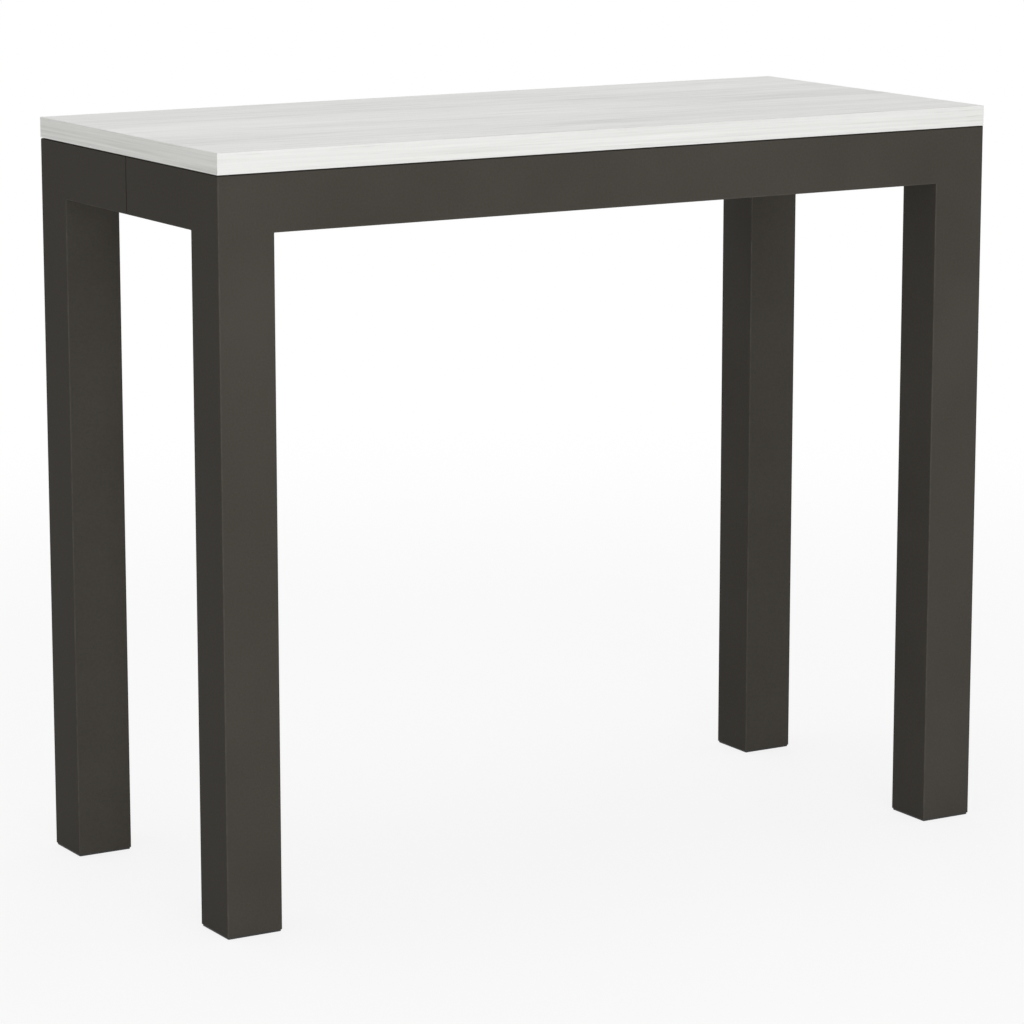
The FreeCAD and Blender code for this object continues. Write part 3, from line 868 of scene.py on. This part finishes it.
def railTree():
    sizes = {"length": "Float", "cornerRadius": "Float", "cornerSteps": "Int"}
    sizes.update({"place": "Vector", "finish": "Material"})
    tree, given = openTree("drawnRail", sizes)
    curve = put(tree, "GeometryNodeMeshToCurve", {"Mesh": given["Geometry"]}).outputs[0]
    feeds = {"Curve": curve, "Count": given["cornerSteps"], "Radius": given["cornerRadius"]}
    feeds["Limit Radius"] = True
    eased = put(tree, "GeometryNodeFilletCurve", feeds, mode="POLY").outputs[0]
    face = put(tree, "GeometryNodeFillCurve", {"Curve": eased}, mode="NGONS").outputs[0]
    feeds = {"Mesh": face, "Offset Scale": given["length"], "Individual": False}
    drawn = put(tree, "GeometryNodeExtrudeMesh", feeds, mode="FACES").outputs[0]
    whole = welded(tree, bothParts(tree, drawn, flipped(tree, face)))
    feeds = {"Geometry": whole, "Translation": given["place"], "Rotation": (math.pi / 2, 0, 0)}
    return closeTree(tree, put(tree, "GeometryNodeTransform", feeds).outputs[0], given["finish"])


railMaker = railTree()
for hand in hands:
    for number in range(1, railCount + 1):
        nodeName = f"{hand}_rail_{number}"
        low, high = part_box(nodeName)
        inward = 1 if hand == "left" else -1
        middle = low.x + rail["face"] if hand == "left" else high.x - rail["face"]
        values = {
            "length": high.y - low.y,
            "cornerRadius": rail["cornerRadius"],
            "cornerSteps": rail["cornerSteps"],
            "place": (middle, high.y, (low.z + high.z) / 2),
            "finish": finishes[slotOf[nodeName]],
        }
        standFor(nodeName, grow(railMaker, railSection(rail, inward), values), camelName(nodeName))
print("rails:", len(hands) * railCount)


# screws: pan heads with a cross recess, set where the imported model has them
screw = {
    "sides": 24,
    "headRadius": 0.004,
    "headHeight": 0.0024,
    "crossLength": 0.0042,
    "crossWidth": 0.0010,
    "crossDepth": 0.0013,
    "turnSeed": 7,
}
headRings = ((1.0, 0.45), (0.94, 0.70), (0.80, 0.90), (0.60, 1.0))  # shares of the head's radius and height
screwKinds = {
    "wood": {"shankRadius": 0.0020, "tipRadius": 0.0005, "tipLength": 0.0040},
    "rail": {"shankRadius": 0.0025, "tipRadius": 0.0022, "tipLength": 0.0005},
}
# longer rail screws have a collar, which fills the gap between the cross bar and the rail
collar = {"screwLength": 0.010, "radius": 0.0050, "height": 0.001, "fromTip": 0.0035}


def screwTree():
    floats = (
        "headRadius", "headHeight", "crossLength", "crossWidth", "crossDepth", "shankRadius", "shankLength",
        "tipRadius", "tipLength", "collarRadius", "collarLow", "collarHigh",
    )
    sizes = {name: "Float" for name in floats}
    sizes.update({"sides": "Int", "turnSeed": "Int", "finish": "Material"})
    tree, given = openTree("panHeadScrews", sizes)
    shank, head, collarRadius = given["shankRadius"], given["headRadius"], given["collarRadius"]
    top = calc(tree, "MULTIPLY", given["headHeight"], -1.0)
    rings = [  # radius and level from the tip, the seat under the head is level 0
        (given["tipRadius"], given["shankLength"]),
        (shank, calc(tree, "SUBTRACT", given["shankLength"], given["tipLength"])),
        (shank, given["collarHigh"]),
        (collarRadius, given["collarHigh"]),
        (collarRadius, given["collarLow"]),
        (shank, given["collarLow"]),
        (shank, 0.0),
        (head, 0.0),
    ]
    for wide, high in headRings:
        rings.append((calc(tree, "MULTIPLY", head, wide), calc(tree, "MULTIPLY", top, high)))
    feeds = {"Vertices": given["sides"], "Radius": given["tipRadius"]}
    disc = put(tree, "GeometryNodeMeshCircle", feeds, fill_type="NGON").outputs[0]
    tip = lifted(tree, disc, given["shankLength"])
    grown, growing = flipped(tree, tip), True
    for (radius, level), (nextRadius, nextLevel) in zip(rings, rings[1:]):
        step = calc(tree, "SUBTRACT", level, nextLevel)
        feeds = {"Mesh": grown, "Selection": growing, "Offset Scale": step, "Individual": False}
        pulled = put(tree, "GeometryNodeExtrudeMesh", feeds, mode="FACES").outputs
        growing = pulled["Top"]
        feeds = {"Geometry": pulled["Mesh"], "Selection": growing}
        feeds["Scale"] = calc(tree, "DIVIDE", nextRadius, radius)
        sized = put(tree, "GeometryNodeScaleElements", feeds, domain="FACE", scale_mode="UNIFORM")
        grown = sized.outputs[0]
    blank = welded(tree, bothParts(tree, grown, tip))
    deep = calc(tree, "MULTIPLY", given["crossDepth"], 2.0)
    bars = []
    for x, y in (("crossLength", "crossWidth"), ("crossWidth", "crossLength")):
        size = put(tree, "ShaderNodeCombineXYZ", {0: given[x], 1: given[y], 2: deep}).outputs[0]
        bars.append(put(tree, "GeometryNodeMeshCube", {"Size": size}).outputs[0])
    made = without(tree, blank, lifted(tree, bothParts(tree, *bars), top), crossing=True)
    feeds = {2: 0.0, 3: math.pi / 2, "Seed": given["turnSeed"]}
    angle = put(tree, "FunctionNodeRandomValue", feeds, data_type="FLOAT").outputs[1]
    spun = put(tree, "FunctionNodeAxisAngleToRotation", {"Axis": upward, "Angle": angle}).outputs[0]
    feeds = {"Rotation": pointAim(tree), "Rotate By": spun}
    aimed = put(tree, "FunctionNodeRotateRotation", feeds, rotation_space="LOCAL").outputs[0]
    return onPoints(tree, given, made, aimed)


def islands(nodeName):  # the separate solids of a node, each as a list of points
    shape = mergedShape(nodeName)
    left = set(shape.verts)
    groups = []
    while left:
        heap, group = [left.pop()], []
        while heap:
            vert = heap.pop()
            group.append(vert.co.copy())
            near = {edge.other_vert(vert) for edge in vert.link_edges} & left
            left -= near
            heap += near
        groups.append(group)
    shape.free()

    def middle(group):
        return [round(math.fsum(point[axis] for point in group) / len(group), 4) for axis in range(3)]

    return sorted(groups, key=middle)


def screwSeat(points, headHeight):  # seat, direction to the tip, and length under the head
    low = Vector([min(values) for values in zip(*points)])
    high = Vector([max(values) for values in zip(*points)])
    middle = (low + high) / 2
    size = high - low
    axis = max(range(3), key=lambda way: size[way])

    def spread(level):  # how wide the solid is at one of its ends
        ends = [point - middle for point in points if abs(point[axis] - level) < tolerance["level"]]
        for offset in ends:
            offset[axis] = 0
        return max(offset.length for offset in ends)

    headLow = spread(low[axis]) > spread(high[axis])
    direction = Vector((0, 0, 0))
    direction[axis] = 1 if headLow else -1
    start = middle.copy()
    start[axis] = low[axis] if headLow else high[axis]
    return start + direction * headHeight, direction, size[axis] - headHeight


def seedPoints(places):
    seed = bpy.data.meshes.new("places")
    seed.from_pydata([seat for seat, axis in places], [], [])
    field = seed.attributes.new("axis", "FLOAT_VECTOR", "POINT")
    field.data.foreach_set("vector", [value for seat, axis in places for value in axis])
    return seed


def screwSizes(kind, length):
    sizes = {**screw, **screwKinds[kind], "shankLength": length}
    if kind == "rail" and length > collar["screwLength"]:
        radius, high = collar["radius"], length - collar["fromTip"]
        low = high - collar["height"]
    else:  # the collar's rings lie on the shank
        radius = sizes["shankRadius"]
        low = high = length / 2
    sizes.update({"collarRadius": radius, "collarLow": low, "collarHigh": high})
    return sizes


def screwSet(nodeName, kind, tree):
    groups = {}
    for points in islands(nodeName):
        seat, direction, length = screwSeat(points, screw["headHeight"])
        groups.setdefault(round(length, 5), []).append((seat, direction))
    shape = bmesh.new()
    for length, places in sorted(groups.items()):
        values = {**screwSizes(kind, length), "finish": finishes[slotOf[nodeName]]}
        shape.from_mesh(grow(tree, seedPoints(places), values))
    print("screws", nodeName, {length: len(places) for length, places in groups.items()})
    return smoothed(meshFrom(shape, nodeName), "screws")


screwMaker = screwTree()
for half in halves:
    for kind in screwKinds:
        nodeName = f"{half}_{kind}_screws"
        standFor(nodeName, screwSet(nodeName, kind, screwMaker), camelName(nodeName))


# leg bolts and their flange nuts lie on the diagonals of the leg corners
nut = {
    "sides": 48,
    "flangeRadius": 0.0090,
    "flangeTop": 0.0080,  # the flange slopes up to this
    "flangeHeight": 0.0015,
    "hexWidth": 0.0130,
    "hexHeight": 0.0065,
    "chamferRadius": 0.0062,
    "chamferSlope": 1.73,
    "boreRadius": 0.0041,
}
bolt = {
    "radius": 0.0040,
    "plain": 0.0380,  # length without thread
    "pitch": 0.00125,
    "depth": 0.00065,
    "rows": 8,  # rings of points per turn of the thread
    "sides": 24,
    "point": 0.0010,
    "pointDepth": 0.00078,  # how far the tip is turned down
}


def diagonalSpan(points):  # start, direction towards the table's middle, and length
    middle = sum(points, Vector()) / len(points)
    inward = Vector((-math.copysign(1, middle.x), -math.copysign(1, middle.y), 0)).normalized()
    sideways = inward.cross(upward)

    def extent(axis):
        values = [point.dot(axis) for point in points]
        return min(values), max(values)

    near, far = extent(inward)
    start = inward * near + sideways * (sum(extent(sideways)) / 2)
    start.z = sum(extent(upward)) / 2
    return start, inward, far - near


def nutTree():
    sizes = {name: "Float" for name in nut if name != "sides"}
    sizes.update({"sides": "Int", "finish": "Material"})
    tree, given = openTree("flangeNuts", sizes)

    def cone(low, high, tall, level):
        feeds = {"Vertices": given["sides"], "Radius Top": high, "Radius Bottom": low, "Depth": tall}
        return lifted(tree, put(tree, "GeometryNodeMeshCone", feeds).outputs[0], level)

    def combined(first, second, operation):
        node = put(tree, "GeometryNodeMeshBoolean", {"Mesh 2": first}, operation=operation, solver="EXACT")
        tree.links.new(second, node.inputs["Mesh 2"])
        return node.outputs[0]

    sunk = calc(tree, "MULTIPLY", given["flangeHeight"], 0.5)  # the hexagon starts inside the flange
    tall = calc(tree, "ADD", given["hexHeight"], sunk)
    middle = calc(tree, "ADD", calc(tree, "MULTIPLY", tall, 0.5), sunk)
    corner = calc(tree, "DIVIDE", given["hexWidth"], math.sqrt(3))
    feeds = {"Vertices": 6, "Radius": corner, "Depth": tall}
    prism = lifted(tree, put(tree, "GeometryNodeMeshCylinder", feeds).outputs[0], middle)
    wide = calc(tree, "ADD", given["chamferRadius"], calc(tree, "MULTIPLY", tall, given["chamferSlope"]))
    chamfer = cone(wide, given["chamferRadius"], tall, sunk)
    hexagon = combined(prism, chamfer, "INTERSECT")
    flange = cone(given["flangeRadius"], given["flangeTop"], given["flangeHeight"], 0.0)
    blank = combined(hexagon, flange, "UNION")
    through = calc(tree, "MULTIPLY", tall, 4.0)  # the drill is centred on the seat
    feeds = {"Vertices": given["sides"], "Radius": given["boreRadius"], "Depth": through}
    drill = put(tree, "GeometryNodeMeshCylinder", feeds).outputs[0]
    return onPoints(tree, given, without(tree, blank, drill), pointAim(tree))


def threadedRod(shape, start, direction, length, look):
    sideways = direction.cross(upward)
    radius, depth, sides = look["radius"], look["depth"], look["sides"]
    plain, pitch = look["plain"], look["pitch"]
    rows = round((length - plain) / pitch) * look["rows"]
    levels = [0.0] + [plain + (length - plain) * row / rows for row in range(rows + 1)]
    rings = []
    for level in levels:
        tipRadius = radius - look["pointDepth"] + (length - level) * depth / look["point"]
        ring = []
        for side in range(sides):
            turn = math.tau * side / sides
            phase = ((level - plain) / pitch - side / sides) % 1
            cut = depth * (1 - abs(2 * phase - 1)) * (level > plain)
            spoke = sideways * math.cos(turn) + upward * math.sin(turn)
            ring.append(shape.verts.new(start + direction * level + spoke * min(radius - cut, tipRadius)))
        rings.append(ring)
    for below, above in zip(rings, rings[1:]):
        for side in range(sides):
            after = (side + 1) % sides
            shape.faces.new((below[side], above[side], above[after], below[after]))
    shape.faces.new(rings[0])
    shape.faces.new(rings[-1][::-1])


nutMaker = nutTree()
for half in halves:
    nodeName = half + "_leg_nuts"
    places = [diagonalSpan(points)[:2] for points in islands(nodeName)]
    mesh = grow(nutMaker, seedPoints(places), {**nut, "finish": finishes[slotOf[nodeName]]})
    standFor(nodeName, smoothed(mesh, "nuts"), camelName(nodeName))
    nodeName = half + "_leg_bolts"
    shape = bmesh.new()
    for points in islands(nodeName):
        threadedRod(shape, *diagonalSpan(points), bolt)
    standFor(nodeName, smoothed(meshFrom(shape, nodeName), "bolts"), camelName(nodeName))
    print("leg bolts and nuts,", half, len(places), "of each")


# turned pins and dowels, their ends eased
turned = {"alignment_pins": 0.0006, "front_dowels": 0.0008, "rear_dowels": 0.0008}
turnedSteps = 2

for nodeName, width in turned.items():
    shape = mergedShape(nodeName)
    easeEdges(shape, width, turnedSteps, lambda edge: square(edge) and convex(edge))
    standFor(nodeName, smoothed(meshFrom(shape, nodeName), "turned"), camelName(nodeName))
print("turned pieces:", len(turned))


# felt pads on the front half's seam ends, above and below the pins: dark pads that close the seam and stand
# in for the shade in the gap, as painted shade
seamShadeFelt = {
    "width": 0.0110,
    "depth": 0.00194,  # just short of the rear half
    "fromUnder": 0.0005,
    "fromTop": 0.0010,
    "pinRoom": 0.0072,  # half the height left free for a pin
    "corner": 0.0020,
    "cornerSteps": 4,
    "rim": 0.0004,
    "rimSteps": 2,
}


def roundedPad(low, high, look):  # seen along y, its outer rim softened
    pad = bmesh.new()
    bmesh.ops.create_cube(pad, size=1)
    for vert in pad.verts:
        vert.co = [(low[way] + high[way]) / 2 + vert.co[way] * (high[way] - low[way]) for way in range(3)]
    easeEdges(pad, look["corner"], look["cornerSteps"], lambda edge: runsAlong(edge, yAxis))
    easeEdges(pad, look["rim"], look["rimSteps"], lambda edge: atLevel(edge, yAxis, high[yAxis]))
    return meshFrom(pad, "pad")


def shadeFeltPads(look):
    shape = bmesh.new()
    for nodeName in ("left_front_side", "right_front_side"):
        low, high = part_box(nodeName)
        middle = (low + high) / 2
        left, right = middle.x - look["width"] / 2, middle.x + look["width"] / 2
        below = (low.z + look["fromUnder"], middle.z - look["pinRoom"])
        above = (middle.z + look["pinRoom"], high.z - look["fromTop"])
        for bottom, top in (below, above):
            pad = roundedPad((left, high.y, bottom), (right, high.y + look["depth"], top), look)
            shape.from_mesh(pad)
    return smoothed(meshFrom(shape, "seamShadePads"), "felts")


# dark felt pads in the seam, as painted shade
felts = addObject("seamShadePads", shadeFeltPads(seamShadeFelt))
felts.data.materials.append(darkCoat("shadeFeltCoat"))
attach(felts, "front_half")
print("seam felts:", len(felts.data.polygons), "faces")
